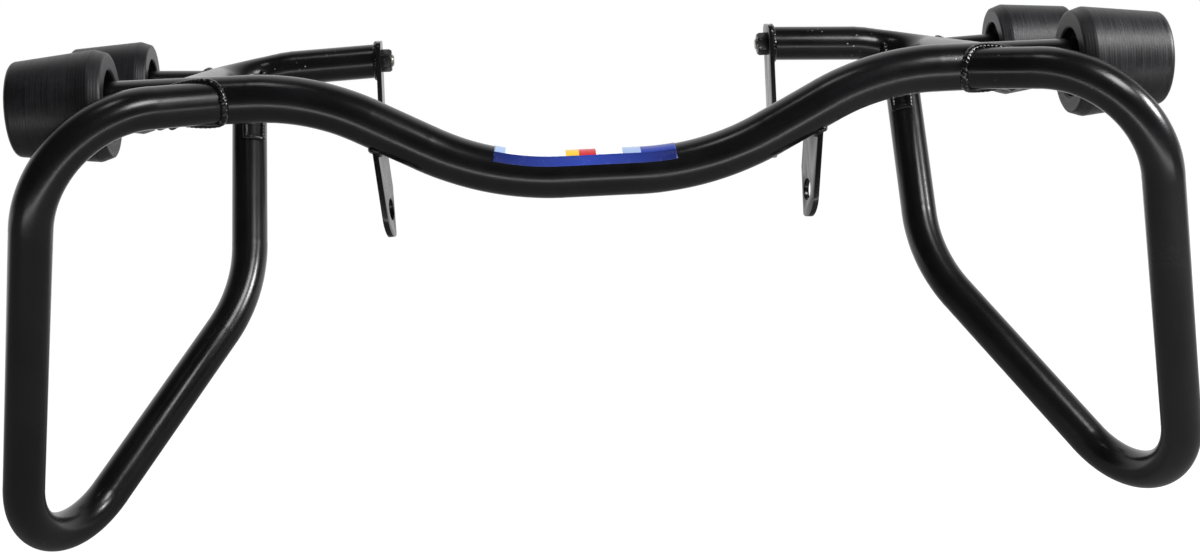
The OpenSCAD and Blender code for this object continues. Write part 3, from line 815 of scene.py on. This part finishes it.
def labelFilm(name):
    # the film follows the tube: axis(x) + r (cos q up(x) + sin q front), where up(x) leans inwards in a bend
    v = labelValues
    radius = crossTubeValues["radius"] + v["clear"]
    x = np.linspace(*v["span"], v["alongPoints"])
    a = np.arcsin(np.maximum(np.abs(x) - v["flatHalf"], 0.0) / v["bend"]) * np.sign(x)
    axis = np.stack([x, np.zeros_like(x), -v["fall"] + v["bend"] * (1.0 - np.cos(a))], -1)
    up = np.stack([-np.sin(a), np.zeros_like(a), np.cos(a)], -1)
    q = np.radians(np.linspace(*v["arc"], v["roundPoints"]))
    ring = up[:, None] * np.cos(q)[None, :, None] + np.array([0.0, -1.0, 0.0]) * np.sin(q)[None, :, None]
    outer = axis[:, None] + ring * (radius + v["film"])
    inner = axis[:, None] + ring * radius
    # the section goes back along the inner face and out along the outer one, so the film is a closed strip;
    # its UV runs from 0 to 1 both ways over the outer face
    points = np.concatenate([inner[:, ::-1], outer], axis=1)
    u = np.concatenate([np.zeros(v["roundPoints"]), np.linspace(0.0, 1.0, v["roundPoints"]), [1.0]]) / mm
    return gridPiece(name, points, u, np.linspace(0.0, 1.0, v["alongPoints"]) / mm)


def labelMaterial():
    # printed vinyl under a clear gloss film: plain fields of colour, no words or signs
    v = labelValues
    material, tree = newMaterial("printedVinylFilm")
    uv = addNode(tree, "ShaderNodeTexCoord").outputs["UV"]
    where = addNode(tree, "ShaderNodeTexCoord").outputs["Object"]
    split = addNode(tree, "ShaderNodeSeparateXYZ", None, {0: uv})
    ramps = []
    for key, steps in (("fields", "CONSTANT"), ("band", "LINEAR")):
        settings = {"stops": [(at, toLinear(v[name])) for at, name in v[key]], "steps": steps}
        ramp = addNode(tree, "ShaderNodeValToRGB", settings, {"Fac": split.outputs["Y"]})
        ramps.append(ramp.outputs["Color"])
    colour = mixedColour(tree, maths(tree, "GREATER_THAN", split.outputs["X"], v["bandFrom"]), *ramps)
    dirt = noise(tree, where, *v["dirtNoise"])
    rough = mapped(tree, dirt, (0.0, 1.0), v["roughness"])
    principled(tree, {"IOR": v["ior"]}, colour, rough, bumped(tree, dirt, v["dirtHeight"]))
    return material


place(labelFilm("labelFilm"), labelMaterial(), "label")
print("label laid")


# ---- floor, light and camera

stageValues = {
    "floorZ": -305.0,       # mm, under the loops' feet
    "floorHalf": 30000.0,
    "paper": "#ffffff",
    "shadowShare": 0.22,    # how much of the floor's whiteness a full shadow takes away
    "worldForLight": 0.42,
    "dimRoom": 0.045,       # what a glossy surface sees of the room in front of the object
    "paperEdge": (150.0, 900.0),   # mm in Y, where the white paper takes over from the dim floor in front
    "sweepEdge": (0.1, 0.75),      # the same for the world, as the Y share of a direction
}
white = (1.0, 1.0, 1.0, 1.0)


def whiteShare(tree, backward, span):
    # Two shares. How white a ray finds the room: 1 for the camera's rays; for glossy and clear rays 1 where
    # the white paper stands and dimRoom in front of the object. And whether it is one of these kinds of ray.
    light = addNode(tree, "ShaderNodeLightPath")
    camera = light.outputs["Is Camera Ray"]
    clear = maths(tree, "MAXIMUM", light.outputs["Is Glossy Ray"], light.outputs["Is Transmission Ray"])
    dimToWhite = (stageValues["dimRoom"], 1.0)
    paper = mapped(tree, mapped(tree, backward, span), (0.0, 1.0), dimToWhite, "SMOOTHSTEP")
    share = maths(tree, "MAXIMUM", camera, maths(tree, "MULTIPLY", clear, paper))
    return share, maths(tree, "MAXIMUM", camera, clear)


def stageFloor():
    # matt white paper; seen rays get glow and lit paper that add up to white, and a shadow takes the lit part
    v = stageValues
    h, z = v["floorHalf"] * mm, v["floorZ"] * mm
    mesh = bpy.data.meshes.new("studioFloor")
    mesh.from_pydata([(-h, -h, z), (h, -h, z), (h, h, z), (-h, h, z)], [], [(0, 1, 2, 3)])
    floor = bpy.data.objects.new("studioFloor", mesh)
    bpy.context.scene.collection.objects.link(floor)
    material, tree = newMaterial("whitePaperFloor")
    where = addNode(tree, "ShaderNodeTexCoord").outputs["Object"]
    split = addNode(tree, "ShaderNodeSeparateXYZ", None, {0: where})
    share, seen = whiteShare(tree, split.outputs["Y"], [k * mm for k in v["paperEdge"]])
    strength = maths(tree, "MULTIPLY", share, 1.0 - v["shadowShare"] * v["worldForLight"])
    glow = addNode(tree, "ShaderNodeEmission", {"Color": white}, {"Strength": strength})
    faint = addNode(tree, "ShaderNodeBsdfDiffuse", {"Color": (v["shadowShare"],) * 3 + (1.0,)})
    paper = addNode(tree, "ShaderNodeBsdfDiffuse", {"Color": toLinear(v["paper"])})
    both = addNode(tree, "ShaderNodeAddShader", None, {0: faint.outputs[0], 1: glow.outputs[0]})
    mixed = addNode(tree, "ShaderNodeMixShader", None, {0: seen, 1: paper.outputs[0], 2: both.outputs[0]})
    finishMaterial(tree, mixed.outputs[0])
    floor.data.materials.append(material)


def stageWorld():
    # a white sweep behind, a dim room in front; the light that falls on the object is the same all round
    v = stageValues
    world = bpy.data.worlds.new("softWhiteRoom")
    bpy.context.scene.world = world
    world.use_nodes = True
    tree = world.node_tree
    tree.nodes.clear()
    direction = addNode(tree, "ShaderNodeTexCoord").outputs["Generated"]
    split = addNode(tree, "ShaderNodeSeparateXYZ", None, {0: direction})
    share, seen = whiteShare(tree, split.outputs["Y"], v["sweepEdge"])
    evenly = {"data_type": "FLOAT", 2: v["worldForLight"]}
    strength = addNode(tree, "ShaderNodeMix", evenly, {0: seen, 3: share})
    room = addNode(tree, "ShaderNodeBackground", {"Color": white}, {"Strength": strength.outputs[0]})
    addNode(tree, "ShaderNodeOutputWorld", None, {"Surface": room.outputs[0]})


def placed(right, up, back, at):
    # the matrix of a lamp or camera from its axes and its place in mm
    m = np.eye(4)
    m[:3] = np.stack([right, up, back, np.asarray(at) * mm], -1)
    return Matrix(m.tolist())


lampValues = {
    # name: bearing from the front toward the right and height in degrees; distance, width and height in mm;
    # radiance
    "tableGlow": (3.0, -22.0, 640.0, 1500.0, 60.0, 6.0),
    "rightBox": (76.0, 22.0, 1200.0, 280.0, 220.0, 60.0),
    "topBox": (-40.0, 74.0, 1300.0, 240.0, 180.0, 6.0),
    "upperRight": (43.0, 40.0, 1200.0, 420.0, 320.0, 17.0),
}
lampAim = np.array([0.0, 60.0, -40.0])   # mm, the middle of the bars


def stageLamps():
    # each softbox faces the middle of the bars; its watts are radiance x area x pi
    for name, (bearing, height, distance, width, tall, radiance) in lampValues.items():
        turn, rise = math.radians(bearing), math.radians(height)
        back = np.array([math.sin(turn) * math.cos(rise), -math.cos(turn) * math.cos(rise), math.sin(rise)])
        data = bpy.data.lights.new(name, "AREA")
        data.shape = "RECTANGLE"
        data.size, data.size_y = width * mm, tall * mm
        data.energy = radiance * width * tall * mm * mm * math.pi
        lamp = bpy.data.objects.new(name, data)
        bpy.context.scene.collection.objects.link(lamp)
        lamp.visible_camera = False
        right = unit(np.cross((0.0, 0.0, 1.0), back))
        up = np.cross(back, right)
        lamp.matrix_world = placed(right, up, back, lampAim + distance * back)


cameraValues = {
    "at": (-52.28, -963.10, 70.85), "yaw": 2.957, "pitch": 10.378, "roll": -2.387,
    "pixelsFocal": 1802.1, "pixelsWide": 1200.0, "sensor": 36.0, "farEnd": 100.0,
}


def stageCamera():
    # forward = (sin yaw cos pitch, cos yaw cos pitch, -sin pitch); right and up are then rolled about it
    v = cameraValues
    yaw, pitch, roll = (math.radians(v[k]) for k in ("yaw", "pitch", "roll"))
    forward = np.array([math.sin(yaw) * math.cos(pitch), math.cos(yaw) * math.cos(pitch), -math.sin(pitch)])
    right = np.array([math.cos(yaw), -math.sin(yaw), 0.0])
    up = np.cross(right, forward)
    right, up = math.cos(roll) * right + math.sin(roll) * up, -math.sin(roll) * right + math.cos(roll) * up
    data = bpy.data.cameras.new("photoCamera")
    data.sensor_width = v["sensor"]
    data.lens = v["sensor"] * v["pixelsFocal"] / v["pixelsWide"]
    data.clip_end = v["farEnd"]
    camera = bpy.data.objects.new("photoCamera", data)
    bpy.context.scene.collection.objects.link(camera)
    camera.matrix_world = placed(right, up, -forward, v["at"])
    bpy.context.scene.camera = camera


stageFloor()
stageWorld()
stageLamps()
stageCamera()
bpy.context.scene.view_settings.view_transform = "Standard"
print("stage set")
